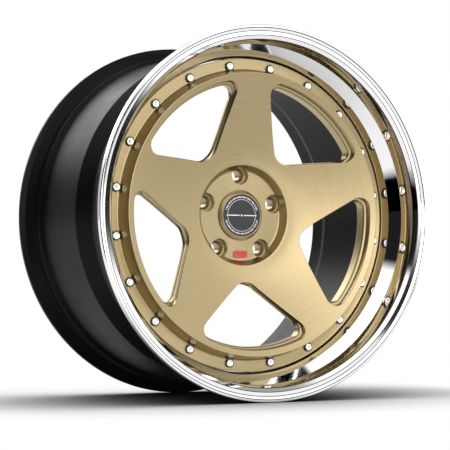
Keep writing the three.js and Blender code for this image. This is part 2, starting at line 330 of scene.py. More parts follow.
def ramp(tree, factor, low, high):
    """Spreads a factor between two numbers."""
    node = add_node(tree, "ShaderNodeMapRange", {"Value": factor, "To Min": low, "To Max": high,
                                                  "From Min": 0.25, "From Max": 0.75})
    return node.outputs[0]


def colours(tree, factor, low, high):
    """Blends two colours by a factor."""
    node = add_node(tree, "ShaderNodeMix", data_type="RGBA")
    tree.links.new(factor, node.inputs["Factor"])
    node.inputs[6].default_value = (*low, 1)
    node.inputs[7].default_value = (*high, 1)
    return node.outputs[2]


def tinted(tree, shader, factor, low, high):
    tree.links.new(colours(tree, factor, low, high), shader.inputs["Base Color"])


def roughened(tree, shader, factor, low, high):
    tree.links.new(ramp(tree, factor, low, high), shader.inputs["Roughness"])


def bump(tree, shader, height, distance_mm, strength=1.0):
    node = add_node(tree, "ShaderNodeBump", {
        "Height": height, "Distance": distance_mm * MM, "Strength": strength})
    tree.links.new(node.outputs["Normal"], shader.inputs["Normal"])


def brushed_gold():
    """Gold-toned aluminium with fine lathe marks round the axle."""
    material, tree, shader = blank_material(
        "brushed_gold", (0.40, 0.317, 0.173), 1.0, 0.34, Anisotropic=0.45)
    marks = lathe_marks(tree, 900.0, 2.5)
    fine = noise(tree, marks, 1.0, 6.0, 0.7)
    cloud = spots(tree, 14.0)
    tinted(tree, shader, fine, (0.31, 0.244, 0.131), (0.50, 0.394, 0.219))
    rough = calculate(tree, "ADD", ramp(tree, fine, 0.27, 0.36), ramp(tree, cloud, -0.03, 0.03))
    tree.links.new(rough, shader.inputs["Roughness"])
    tangent = add_node(tree, "ShaderNodeTangent", direction_type="RADIAL", axis="Y")
    tree.links.new(tangent.outputs[0], shader.inputs["Tangent"])
    bump(tree, shader, fine, 0.03, 0.5)
    return material


def painted_root_shade(tree):
    """1 in the narrow roots between the turned steps on the front of the lip, where the polish is painted
    dark as shade.
    """
    _, x, y, z = place(tree)
    radius = axle_distance(tree, x, z)
    roots = 0.0
    for root in STEP_ROOTS:
        away = calculate(tree, "ABSOLUTE", calculate(tree, "SUBTRACT", radius, root * MM))
        line = add_node(tree, "ShaderNodeMapRange", {
            "Value": away, "From Min": 0.75 * MM, "From Max": 0.35 * MM}).outputs[0]
        roots = calculate(tree, "ADD", roots, line)
    front = add_node(tree, "ShaderNodeMapRange", {
        "Value": y, "From Min": -138.4 * MM, "From Max": -138.8 * MM}).outputs[0]
    return calculate(tree, "MULTIPLY", roots, front)


def polished_aluminium():
    material, tree, shader = blank_material("polished_aluminium", (0.90, 0.90, 0.905), 1.0, 0.04)
    # painted shade: the polish is darkened in the roots between the lip's steps
    tinted(tree, shader, painted_root_shade(tree), (0.90, 0.90, 0.905), (0.05, 0.05, 0.052))
    marks = lathe_marks(tree, 700.0, 1.2)
    fine = noise(tree, marks, 1.0, 4.0, 0.6)
    roughened(tree, shader, fine, 0.025, 0.06)
    bump(tree, shader, fine, 0.0012, 0.5)
    return material


def satin_black():
    """Smooth black powder coat with a faint orange peel."""
    material, tree, shader = blank_material("satin_black", (0.004, 0.004, 0.0045), 0.0, 0.32, IOR=1.17)
    peel = spots(tree, 420.0, 2.0)
    cloud = spots(tree, 22.0)
    tinted(tree, shader, cloud, (0.003, 0.003, 0.0035), (0.005, 0.005, 0.0055))
    roughened(tree, shader, cloud, 0.27, 0.35)
    bump(tree, shader, peel, 0.02, 0.4)
    return material


def chrome():
    material, tree, shader = blank_material("chrome_bolt", (0.88, 0.88, 0.885), 1.0, 0.1)
    scuff = spots(tree, 900.0)
    roughened(tree, shader, scuff, 0.07, 0.16)
    bump(tree, shader, scuff, 0.004, 0.4)
    return material


def bare_steel():
    material, tree, shader = blank_material("bare_steel", (0.50, 0.51, 0.52), 1.0, 0.34)
    grain = spots(tree, 700.0, 4.0)
    cloud = spots(tree, 60.0)
    tinted(tree, shader, cloud, (0.42, 0.43, 0.44), (0.58, 0.585, 0.59))
    roughened(tree, shader, grain, 0.28, 0.42)
    bump(tree, shader, grain, 0.01, 0.5)
    return material


def seat_steel():
    """Warm-toned steel of the pressed-in cones."""
    material, tree, shader = blank_material("seat_steel", (0.42, 0.355, 0.24), 1.0, 0.3)
    cloud = spots(tree, 180.0)
    tinted(tree, shader, cloud, (0.34, 0.28, 0.18), (0.50, 0.43, 0.30))
    roughened(tree, shader, cloud, 0.24, 0.36)
    return material


def bolt_skirt_shade():
    """Painted shade: a dark ring on the skirt of each rim bolt's head, round its bright dome."""
    material, tree, shader = blank_material("bolt_skirt_shade", (0.03, 0.03, 0.032), 0.0, 0.4, IOR=1.3)
    cloud = spots(tree, 500.0)
    tinted(tree, shader, cloud, (0.02, 0.019, 0.018), (0.05, 0.048, 0.045))
    roughened(tree, shader, cloud, 0.34, 0.48)
    return material


def black_rubber():
    material, tree, shader = blank_material("black_rubber", (0.02, 0.02, 0.02), 0.0, 0.7)
    grain = spots(tree, 1500.0)
    tinted(tree, shader, grain, (0.015, 0.015, 0.015), (0.03, 0.03, 0.03))
    roughened(tree, shader, grain, 0.6, 0.8)
    bump(tree, shader, grain, 0.03, 0.6)
    return material


def carbon():
    """Twill carbon fibre under clear coat: two sets of tows that cross in a diagonal pattern."""
    material, tree, shader = blank_material(
        "carbon", (0.02, 0.02, 0.024), 0.0, 0.4, Coat_Weight=0.25, Coat_Roughness=0.06)
    _, x, _, z = place(tree)
    tow = 1 / (1.3 * MM)
    across = calculate(tree, "MULTIPLY", x, tow)
    along = calculate(tree, "MULTIPLY", z, tow)
    column = calculate(tree, "FLOOR", across)
    row = calculate(tree, "FLOOR", along)
    turn = calculate(tree, "FLOORED_MODULO", calculate(tree, "ADD", column, row), 4.0)
    over = calculate(tree, "LESS_THAN", turn, 2.0)
    across_wave = calculate(tree, "PINGPONG", across, 0.5)
    along_wave = calculate(tree, "PINGPONG", along, 0.5)
    crown = add_node(tree, "ShaderNodeMix", {"Factor": over, "A": along_wave, "B": across_wave})
    tinted(tree, shader, over, (0.003, 0.003, 0.005), (0.028, 0.029, 0.04))
    bump(tree, shader, crown.outputs["Result"], 0.25, 0.8)
    return material


def red_enamel():
    material, tree, shader = blank_material(
        "red_enamel", (0.55, 0.03, 0.02), 0.0, 0.3, Coat_Weight=0.8, Coat_Roughness=0.05)
    cloud = spots(tree, 300.0)
    tinted(tree, shader, cloud, (0.48, 0.032, 0.014), (0.62, 0.055, 0.024))
    bump(tree, shader, cloud, 0.01, 0.3)
    return material


def white_print():
    material, tree, shader = blank_material("white_print", (0.75, 0.75, 0.75), 0.0, 0.4)
    grain = spots(tree, 1200.0, 2.0)
    tinted(tree, shader, grain, (0.70, 0.70, 0.70), (0.80, 0.80, 0.80))
    return material


def brass():
    material, tree, shader = blank_material("brass_pin", (0.70, 0.48, 0.20), 1.0, 0.3)
    grain = spots(tree, 1500.0)
    roughened(tree, shader, grain, 0.22, 0.4)
    return material


STEP_ROOTS = (251.0, 256.6, 262.6, 267.2)  # radii on the front of the lip, where thin lines of painted shade are drawn
GOLD = brushed_gold()
POLISHED = polished_aluminium()
BLACK = satin_black()
CHROME = chrome()
STEEL = bare_steel()
SEAT_STEEL = seat_steel()
BOLT_SKIRT_SHADE = bolt_skirt_shade()
RUBBER = black_rubber()
CARBON = carbon()
RED = red_enamel()
PRINT = white_print()
BRASS = brass()

# ---------------------------------------------------------------- centre disc
STAR_RADIUS = 95  # where the edges of two neighbouring spokes would meet
WINDOW_HALF_ANGLE = math.radians(50)
WINDOW_FRONT_RADIUS = 198
WINDOW_RADIUS = 193.5
WINDOW_CORNER = 12
WINDOW_NOSE = 22
LEDGE_DEPTH = 9
WINDOW_DRAFT = 2.4  # the sides open out this much from the back to the front
LEDGE_DRAFT = 1.7  # and this much to the ledge
POCKET_WALL = 9  # thickness left under the pockets in the spokes' backs

FACE_START = 77.0  # the front face runs between these radii
FACE_END = 205.2
BACK_START = 92.0  # and the back of the spokes between these
BACK_END = 197.5
WINDOW_EDGE_ROUND = 0.8


def bezier(a, b, c, d, count):
    t = np.linspace(0, 1, count)[:, None]
    a, b, c, d = (np.array(p, float) for p in (a, b, c, d))
    return (1 - t) ** 3 * a + 3 * (1 - t) ** 2 * t * b + 3 * (1 - t) * t * t * c + t ** 3 * d


FACE_CURVE = bezier((75.5, -65.3), (112, -67), (164, -90), (206.5, -105), 200)


def front_face(radius):
    """y of the concave front face."""
    return np.interp(radius, FACE_CURVE[:, 0], FACE_CURVE[:, 1])


def back_face(radius):
    """y of the back of the spokes: straight cones with their joints smoothed."""
    total = 0
    for shift in np.linspace(-3, 3, 7):
        total = total + np.interp(radius + shift, [84, 106, 126, 148, 172, 194, 201.5],
                                  [-27, -53.2, -60.6, -66.8, -72.6, -73.8, -65])
    return total / 7


def window_ring(outer_radius, inset):
    """Outline of a window that points along +Z, as (x, z). Outlines of any radius match point for point."""
    half = WINDOW_HALF_ANGLE
    side = np.array([math.sin(half), math.cos(half)])
    inward = np.array([-math.cos(half), math.sin(half)])

    def corner_centre(radius):
        base = np.array([0, STAR_RADIUS]) + inward * WINDOW_CORNER
        reach = radius - WINDOW_CORNER
        along = -base @ side + math.sqrt((base @ side) ** 2 - base @ base + reach ** 2)
        return base + side * along

    def arc(centre, radius, start, end, count):
        angles = np.linspace(start, end, count)
        return [centre + radius * np.array([math.cos(a), math.sin(a)]) for a in angles]

    nose_centre = np.array([0, STAR_RADIUS + WINDOW_NOSE / math.sin(half)])
    nose = arc(nose_centre, WINDOW_NOSE - inset, -math.pi / 2, -half, 9)
    centre = corner_centre(outer_radius)
    branch = corner_centre(WINDOW_RADIUS) - inward * (WINDOW_CORNER - inset)
    side_points = [nose[-1] + (branch - nose[-1]) * t for t in np.linspace(0, 1, 22)[1:-1]]
    touch = centre - inward * (WINDOW_CORNER - inset)
    extra = [branch + (touch - branch) * t for t in np.linspace(0, 1, 5)[:-1]]
    arc_angle = math.atan2(centre[1], centre[0])
    corner = arc(centre, WINDOW_CORNER - inset, -half, arc_angle, 13)
    outer = arc(np.zeros(2), outer_radius - inset, arc_angle, math.pi / 2, 22)[1:]
    right = nose + side_points + extra + corner + outer
    left = [np.array([-p[0], p[1]]) for p in reversed(right[1:-1])]
    return np.array(right + left)


def lifted(outline, heights):
    """Puts an (x, z) outline at its heights y."""
    return np.stack([outline[:, 0], heights, outline[:, 1]], 1)


def window_walls():
    """Rings of one window from the front face, over the stepped ledge, to the back."""
    rings = []

    def ring(outline, height, below):
        radius = np.hypot(outline[:, 0], outline[:, 1])
        rings.append(lifted(outline, height(radius) + below))

    front_round, hollow, ledge_round, back_round = WINDOW_EDGE_ROUND, 1.5, 2.2, 1.4
    step = WINDOW_FRONT_RADIUS - WINDOW_RADIUS
    arc_steps = np.linspace(0, math.pi / 2, 6)

    def drafted(radius, draft, inset):
        """A window outline whose sides are moved out by the draft, and whose outer arc stays put."""
        return window_ring(radius - draft, inset - draft)

    ring(drafted(WINDOW_FRONT_RADIUS, WINDOW_DRAFT, -front_round - 1.0), front_face, 0)
    for angle in arc_steps:
        ring(drafted(WINDOW_FRONT_RADIUS, WINDOW_DRAFT, -front_round * (1 - math.sin(angle))), front_face,
             front_round * (1 - math.cos(angle)))
    wide = drafted(WINDOW_FRONT_RADIUS, LEDGE_DRAFT, 0)
    narrow = drafted(WINDOW_RADIUS, LEDGE_DRAFT, 0)

    def between(distance):
        return wide + (narrow - wide) * distance / step

    ring(wide, front_face, LEDGE_DEPTH - hollow - 1.0)
    for angle in arc_steps:
        ring(between(hollow * (1 - math.cos(angle))), front_face,
             LEDGE_DEPTH - hollow * (1 - math.sin(angle)))
    for angle in arc_steps:
        ring(between(step - ledge_round * (1 - math.sin(angle))), front_face,
             LEDGE_DEPTH + ledge_round * (1 - math.cos(angle)))
    ring(narrow, front_face, LEDGE_DEPTH + ledge_round + 1.0)
    ring(narrow, back_face, -back_round - 1.0)
    for angle in arc_steps:
        ring(window_ring(WINDOW_RADIUS, -back_round * (1 - math.cos(angle))), back_face,
             -back_round * (1 - math.sin(angle)))
    ring(window_ring(WINDOW_RADIUS, -back_round - 1.0), back_face, 0)
    return rings


def spoke_pocket_ring(inset):
    """Outline of the weight-saving pocket in the back of a spoke that points along +Z."""
    corners = [(-34, 110), (34, 110), (18, 178), (-18, 178)]
    points = []
    for i, corner in enumerate(corners):
        points.extend(fillet(corners[i - 1], corner, corners[(i + 1) % 4], 9))
    points = np.array(points)
    dense = []
    for i, point in enumerate(points):
        following = points[(i + 1) % len(points)]
        count = max(1, int(np.linalg.norm(following - point) / 4))
        dense.extend(point + (following - point) * t for t in np.arange(count) / count)
    dense = np.array(dense)
    tangent = np.roll(dense, -1, 0) - np.roll(dense, 1, 0)
    tangent /= np.linalg.norm(tangent, axis=1)[:, None]
    inward = np.stack([-tangent[:, 1], tangent[:, 0]], 1)
    return dense + inward * inset


def pocket_floor(radius):
    return front_face(radius) + POCKET_WALL


def spoke_pocket_walls():
    rings = []

    def ring(outline, height, below):
        radius = np.hypot(outline[:, 0], outline[:, 1])
        rings.append(lifted(outline, height(radius) + below))

    edge, hollow = 1.2, 2.0
    ring(spoke_pocket_ring(-edge - 0.8), back_face, 0)
    for angle in np.linspace(0, math.pi / 2, 5):
        ring(spoke_pocket_ring(-edge * (1 - math.sin(angle))), back_face, -edge * (1 - math.cos(angle)))
    for angle in np.linspace(0, math.pi / 2, 5):
        ring(spoke_pocket_ring(hollow * (1 - math.cos(angle))), pocket_floor, hollow * (1 - math.sin(angle)))
    return rings


def inside(points, loop):
    """Which of the (x, z) points lie inside a closed loop."""
    x, z = points[:, 0][:, None], points[:, 1][:, None]
    x0, z0 = loop[:, 0], loop[:, 1]
    x1, z1 = np.roll(x0, -1), np.roll(z0, -1)
    rise = np.where(z1 == z0, 1e-12, z1 - z0)
    crosses = ((z0 > z) != (z1 > z)) & (x < (x1 - x0) * (z - z0) / rise + x0)
    return crosses.sum(1) % 2 == 1


def filled(skin, outer, holes, height, spacing=4.0):
    """A curved sheet between an outer loop and its holes, at a height that depends on the radius."""
    loops = [outer, *holes]
    edge_points = np.concatenate(loops)
    edges = []
    base = 0
    for loop in loops:
        count = len(loop)
        edges.extend((base + i, base + (i + 1) % count) for i in range(count))
        base += count
    low = outer.min(0)
    high = outer.max(0)
    columns = np.arange(low[0], high[0], spacing)
    rows = np.arange(low[1], high[1], spacing * 0.866)  # rows of nearly equal-sided triangles
    grid = np.stack(np.meshgrid(columns, rows), -1)
    grid[1::2, :, 0] += spacing / 2
    grid = grid.reshape(-1, 2)
    keep = inside(grid, outer)
    for hole in holes:
        keep &= ~inside(grid, hole)
    grid = grid[keep]
    nearest = np.array([np.min(np.hypot(*(edge_points - p).T)) for p in grid])
    grid = grid[nearest > spacing * 0.55]
    points = np.concatenate([edge_points, grid])
    made = delaunay_2d_cdt([Vector(p) for p in points.tolist()], edges, [], 0, 1e-5)
    flat = np.array([list(v) for v in made[0]])
    faces = np.array(made[2])
    middles = flat[faces].mean(1)
    keep = inside(middles, outer)
    for hole in holes:
        keep &= ~inside(middles, hole)
    radius = np.hypot(flat[:, 0], flat[:, 1])
    skin.add(lifted(flat, height(radius)), faces[keep].tolist())


def flat_of(ring):
    return ring[:, [0, 2]]


def circle(radius, steps=STEPS):
    angles = circle_angles(steps)
    return np.stack([radius * np.cos(angles), radius * np.sin(angles)], 1)


LUG_CUTTER = [[0, -84], [14, -84, 0], [14, -42.7, 1.5], [12.0, -42.7, 0.2], [12.0, -33, 0.2], [7.6, -33, 0.3],
              [7.6, -8, 0], [0, -8]]
BOLT_CUTTER = [[0, -112], [7.8, -112, 0], [7.8, -79.4, 0.3], [6.3, -79.4, 0.3], [6.3, -80.7, 0.1],
               [4.4, -80.7, 0.2], [4.4, -60, 0], [0, -60]]
BOLT_CIRCLE = 219.2
BOLT_ANGLES = [9 + 18 * k for k in range(20)]
LUG_CIRCLE = 60


def cutters():
    skin = Skin()
    for corners, radius, angles, steps in (
        (LUG_CUTTER, LUG_CIRCLE, SPOKE_ANGLES, 72),
        (BOLT_CUTTER, BOLT_CIRCLE, BOLT_ANGLES, 40),
    ):
        rings = turned_rings(rounded(corners, closed=False)[1:-1], steps)
        for degrees in angles:
            placed = [turned_about(ring + [0, 0, radius], degrees) for ring in rings]
            skin.strip(placed)
            skin.cap(placed[0])
            skin.cap(placed[-1])
    return skin.mesh("cutters")


def centre_disc():
    skin = Skin()
    front_loops, back_loops = [], []
    walls = window_walls()
    for degrees in WINDOW_ANGLES:
        placed = [turned_about(ring, degrees) for ring in walls]
        skin.strip(placed)
        front_loops.append(flat_of(placed[0]))
        back_loops.append(flat_of(placed[-1]))
    pocket = spoke_pocket_walls()
    for degrees in SPOKE_ANGLES:
        placed = [turned_about(ring, degrees) for ring in pocket]
        skin.strip(placed)
        back_loops.append(flat_of(placed[0]))
        filled(skin, flat_of(placed[-1]), [], pocket_floor)
    filled(skin, circle(FACE_END), [circle(FACE_START), *front_loops], front_face)
    filled(skin, circle(BACK_END), [circle(BACK_START), *back_loops], back_face)
    rim = rounded([
        [FACE_END, float(front_face(FACE_END))],
        [207.6, -105.4, 1.6],
        [213.2, -81, 2.2],
        [230.3, -81, 1.0],
        [230.3, -71, 0.4],
        [203.5, -71, 0.3],
        [203.5, -65, 0.6],
        [202, -65, 0.6],
        [BACK_END, float(back_face(BACK_END))],
    ], closed=False)
    skin.strip(turned_rings(rim))
    hub = rounded([
        [FACE_START, float(front_face(FACE_START))],
        [74.2, -65.0, 1.8],
        [67.2, -53, 3.0],
        [37.2, -53, 0.7],
        [37.2, -50.8, 0.3],
        [31.6, -50.8, 0.4],
        [31.6, -45, 0.3],
        [36.3, -45, 0.3],
        [36.3, -22.4, 1.0],
        [80, -22.4, 1.5],
        [84, -27, 3.0],
        [BACK_START, float(back_face(BACK_START))],
    ], closed=False)
    skin.strip(turned_rings(hub))
    cut = carved(skin.mesh("disc_uncut"), cutters())
    return stand_for(finished(cut, "forged_centre", GOLD, sharp=38), "centre_disc")


# ---------------------------------------------------------------- rim halves
LIP = [
    [204, -70.7, 0.4],
    [231.2, -70.7, 0.2],
    [231.2, -77.8, 0.5],
    [232.0, -80.4, 0.4],
    [234.3, -98, 1.2],
    [247.9, -113.2, 1.6],
    [248.4, -131, 6],
    [250.6, -139.5, 3],
    [256.4, -144.9, 1.2],
    [262.5, -145.0, 0.8],
    [266.8, -147, 1.2],
    [268, -148, 0.5],
    [270.5, -148, 0.7],
    [271.5, -146.5, 0.7],
    [271.5, -139, 1.0],
    [260, -137.5, 4],
    [254, -131, 4],
    [252.6, -112, 1.5],
    [254.6, -108.5, 1.5],
    [243.5, -88, 8],
    [237.6, -74, 4],
    [237.6, -64.7, 0.6],
    [204, -64.7, 0.4],
]
BARREL = [
    [204, -64.4, 0.4],
    [237.6, -64.4, 0.4],
    [237.6, -59.9, 0.8],
    [232.6, -53, 3],
    [232.6, -36, 6],
    [245.2, -5.7, 10],
    [248.5, 100, 5],
    [255, 107, 1.5],
    [255, 110.5, 1.5],
    [253, 113, 1.5],
    [254, 130, 4],
    [264.4, 138, 4],
    [271.5, 140.5, 0.8],
    [271.5, 146, 0.8],
    [269.5, 148, 0.8],
    [253, 148, 1.5],
    [248.3, 143.5, 3],
    [247.6, 112, 8],
    [242.6, 98, 8],
    [239.6, -5, 9],
    [227.2, -34.7, 8],
    [227.2, -58.4, 2.0],
    [204, -58.4, 0.5],
]


def outer_lip():
    return stand_for(turned("polished_lip", LIP, POLISHED, 288), "outer_lip")


def inner_barrel():
    return stand_for(turned("black_barrel", BARREL, BLACK, 288), "inner_barrel")


def sealant_bead():
    corners = [[237.8, -71.5, 0.3], [240.0, -68.5, 1.4], [240.4, -64.5, 1.4], [237.8, -60.3, 0.3]]
    return stand_for(turned("sealant_ring", corners, RUBBER), "sealant_bead")


# ---------------------------------------------------------------- fasteners
THREAD_STEPS = 36


def shaped_ring(radius_of, y, steps):
    """A ring whose radius depends on the angle."""
    angles = circle_angles(steps)
    radius = radius_of(angles) * np.ones(steps)
    return np.stack([radius * np.cos(angles), np.full(steps, y), radius * np.sin(angles)], 1)


def hexagon(across_flats):
    """Radius of a hexagon by angle."""
    def radius_of(angles):
        return across_flats / 2 / np.cos((angles + math.pi / 6) % (math.pi / 3) - math.pi / 6)
    return radius_of


def thread(core, crest, start, end, pitch, steps=THREAD_STEPS, rows_in_a_turn=5):
    """Rings of a screw thread along Y that fades out at both ends."""
    rows = round(abs(end - start) / pitch * rows_in_a_turn)
    rings = []
    for j in range(rows + 1):
        y = start + (end - start) * j / rows
        fade = min(1, 3 * j / rows, 3 * (rows - j) / rows)

        def radius_of(angles):
            wave = 1 - np.abs(2 * ((y / pitch - angles / TURN) % 1) - 1)
            return core + (crest - core) * fade * np.clip(1.4 * wave - 0.2, 0, 1)

        rings.append(shaped_ring(radius_of, y, steps))
    return rings


def bolt_mesh():
    """A domed flange bolt with a socket in its head, made on the axle with its head facing -Y."""
    skin = Skin()
    socket = hexagon(4.6)
    rings = [shaped_ring(socket, -82.7, THREAD_STEPS), shaped_ring(socket, -84.6, THREAD_STEPS)]
    head = rounded([
        [2.0, -84.9], [3.1, -84.95, 0.2], [4.5, -85, 0.8], [5.6, -84.0, 1.2], [5.8, -82.7, 0.3],
        [6.5, -82.3, 0.4], [6.5, -81, 0.25], [3.9, -81, 0.2], [3.9, -60, 0],
    ], closed=False)[1:]
    rings.extend(turned_rings(head, THREAD_STEPS))
    rings.extend(thread(3.5, 3.9, -59.5, -49.4, 1.25))
    rings.extend(turned_rings([[3.45, -49.2], [3.1, -48.7], [2.8, -48.6]], THREAD_STEPS))
    skin.strip(rings)
    skin.cap(rings[0])
    skin.cap(rings[-1])
    mesh = dressed(skin.mesh("rim_bolt_shape"), CHROME, 40)
    # the faces round each dome take the dark material: painted shade
    mesh.materials.append(BOLT_SKIRT_SHADE)
    for face in mesh.polygons:
        beside_dome = math.hypot(face.center.x, face.center.z) > 5.3 * MM
        if beside_dome and face.center.y > -84.4 * MM:
            face.material_index = 1
    return mesh


def hex_nut_mesh(name, across_flats, front, height, core, material):
    """A hexagon nut with chamfered corners and a threaded hole, made on the axle."""
    steps = 48
    back = front + height
    flat = across_flats / 2 * 0.96
    corner = hexagon(across_flats)
    angles = circle_angles(steps)
    cone = (corner(angles) - flat) * math.tan(math.radians(30))
    front_edge = shaped_ring(corner, front, steps) + np.stack([0 * cone, cone, 0 * cone], 1)
    back_edge = shaped_ring(corner, back, steps) - np.stack([0 * cone, cone, 0 * cone], 1)
    rings = [*turned_rings([[core + 0.8, front], [flat, front]], steps), front_edge, back_edge]
    rings.extend(turned_rings([[flat, back], [core + 0.8, back]], steps))
    rings.extend(reversed(thread(core + 0.4, core + 0.1, front + 0.5, back - 0.5, 1.25, steps)))
    skin = Skin()
    skin.strip(rings, closed=True)
    return dressed(skin.mesh(name), material, 25)


def fasteners():
    bolt = bolt_mesh()
    nut = hex_nut_mesh("rim_nut_shape", 12, -58.1, 6.5, 3.9, STEEL)
    for i, degrees in enumerate(BOLT_ANGLES, 1):
        where = round_the_wheel(BOLT_CIRCLE, degrees)
        stand_for(piece_of(bolt, f"flange_bolt_{i:02d}", where), f"rim_bolt_{i:02d}")
        stand_for(piece_of(nut, f"lock_nut_{i:02d}", where), f"rim_nut_{i:02d}")


def lug_seats():
    """Steel cones pressed into the lug pockets, with a rounded mouth and two fine turned grooves."""
    corners = [
        [11.7, -43, 0.25], [11.7, -33.3, 0.3], [7.8, -33.3, 0.3], [7.8, -37.5, 0.6],
        [8.9, -39.3, 0], [9.05, -39.25, 0], [9.15, -39.9, 0],
        [9.9, -41.2, 0], [10.05, -41.15, 0], [10.15, -41.8, 0], [10.9, -43, 0.25],
    ]
    skin = Skin()
    skin.strip(turned_rings(rounded(corners), 64), closed=True)
    seat = dressed(skin.mesh("lug_seat_shape"), SEAT_STEEL, 30)
    for i, degrees in enumerate(SPOKE_ANGLES, 1):
        stand_for(piece_of(seat, f"cone_seat_{i}", round_the_wheel(LUG_CIRCLE, degrees)), f"lug_seat_{i}")


# ---------------------------------------------------------------- centre cap
CAP_LEGS = 6
PRINT_Y = -57.74  # the printing stands a hair's breadth proud of the inlay
PRINT_BACK_Y = -57.69


def box_rings(width, height, depth):
    """Four corners at each end of a box along Y."""
    outline = [(-width, -depth), (width, -depth), (width, depth), (-width, depth)]
    return [np.array([[x, y, z] for x, z in outline]) / 2 for y in (-height, height)]


def cap_body():
    """A turned ring round a recessed face, with two grooves in its bevel and six snap legs behind."""
    corners = [
        [0, -56.2], [31.3, -56.2, 0.2], [31.3, -58, 0.25], [32.3, -58, 0.3],
        [33.3, -57.15, 0.1], [33.5, -56.55, 0.1], [33.95, -56.6, 0.1],
        [35.8, -55.0, 0.5], [35.8, -53.6, 0.15], [35.35, -53.3, 0.1], [35.35, -52.8, 0.1],
        [35.8, -52.5, 0.15], [35.8, -51.4, 0.3], [31, -51.4, 0.3], [31, -44.5, 0.5], [30.5, -44, 0.3],
        [30.5, -41.6, 0.3], [31, -41, 0.3], [31, -39.4, 0.4], [29.6, -38, 0.4], [27.8, -38, 0.4],
        [27.8, -41.5, 0.4], [27.2, -43, 0.6], [27.8, -44.5, 0.4], [27.8, -52.4, 1.0], [0, -52.4],
    ]
    skin = Skin()
    rings = turned_rings(rounded(corners, closed=False)[1:-1], 180)
    skin.strip(rings)
    skin.cap(rings[0])
    skin.cap(rings[-1])
    slots = Skin()
    for i in range(CAP_LEGS):
        ends = [turned_about(ring + [0, -42.5, 30], 60 * i) for ring in box_rings(5, 11, 12)]
        slots.strip(ends)
        slots.cap(ends[0])
        slots.cap(ends[1])
    mesh = carved(skin.mesh("cap_uncut"), slots.mesh("leg_slots"))
    stand_for(finished(mesh, "cap_ring", GOLD), "cap_body")


def cap_inlay():
    corners = [[0, -57.7], [31, -57.7, 0.3], [31, -56.5, 0.2], [0, -56.5]]
    stand_for(turned("woven_inlay", corners, CARBON, 180, closed=False), "cap_inlay")


def bar(x, z, width, height):
    """Rings of a thin rounded bar of print, centred at (x, z)."""
    right, top = width / 2, height / 2
    corners = [(-right, -top), (right, -top), (right, top), (-right, top)]
    outline = []
    for i, corner in enumerate(corners):
        outline.extend(fillet(corners[i - 1], corner, corners[(i + 1) % 4], 0.3))
    outline = np.array(outline) + [x, z]
    return [lifted(outline, np.full(len(outline), y)) for y in (PRINT_BACK_Y, PRINT_Y)]


def cap_print():
    """Plain printing on the inlay: a thin ring, a circle of short dashes, and a diamond between two bars."""
    skin = Skin()
    ring = [[23.2, PRINT_Y], [23.8, PRINT_Y], [23.8, PRINT_BACK_Y], [23.2, PRINT_BACK_Y]]
    skin.strip(turned_rings(ring, 180), closed=True)
    dashes = [angle for angle in range(0, 360, 6) if abs((angle + 90) % 180 - 90) > 12]
    for i, degrees in enumerate(dashes):
        width = 1.9 if i % 3 else 1.1
        rings = [turned_about(ring, degrees) for ring in bar(0, 27.2, width, 2.2)]
        skin.strip(rings)
        skin.cap(rings[1])
    for x in (-14.5, 14.5):
        rings = bar(x, 0, 22, 1.5)
        skin.strip(rings)
        skin.cap(rings[1])
    diamond = [np.array([[0, y, 1.9], [1.9, y, 0], [0, y, -1.9], [-1.9, y, 0]])
               for y in (PRINT_BACK_Y, PRINT_Y)]
    skin.strip(diamond)
    skin.cap(diamond[1])
    piece = finished(skin.mesh("cap_print"), "cap_print", PRINT)
    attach(piece, "centre_cap")


def tube(points, radius, steps=12):
    """Rings round a path, with rounded ends."""
    points = np.array(points, float)
    tangents = np.gradient(points, axis=0)
    tangents /= np.linalg.norm(tangents, axis=1)[:, None]
    rings = []

    def ring(centre, tangent, size):
        side = np.cross(tangent, [0, 1, 0])
        side /= np.linalg.norm(side)
        up = np.cross(side, tangent)
        angles = circle_angles(steps)
        rings.append(centre + size * (np.cos(angles)[:, None] * side + np.sin(angles)[:, None] * up))

    for lift in (80, 55, 30):
        angle = math.radians(lift)
        ring(points[0] - tangents[0] * radius * math.sin(angle), tangents[0], radius * math.cos(angle))
    for point, tangent in zip(points, tangents):
        ring(point, tangent, radius)
    for lift in (30, 55, 80):
        angle = math.radians(lift)
        ring(points[-1] + tangents[-1] * radius * math.sin(angle), tangents[-1], radius * math.cos(angle))
    return rings


def cap_spring():
    """An open wire ring that pushes the cap's legs outwards."""
    gap = math.radians(5)
    path = [[26.4 * math.cos(a), -43, 26.4 * math.sin(a)] for a in np.linspace(gap, TURN - gap, 120)]
    rings = tube(path, 0.7)
    skin = Skin()
    skin.strip(rings)
    skin.cap(rings[0])
    skin.cap(rings[-1])
    stand_for(finished(skin.mesh("spring"), "leg_spring", STEEL), "cap_spring_ring")


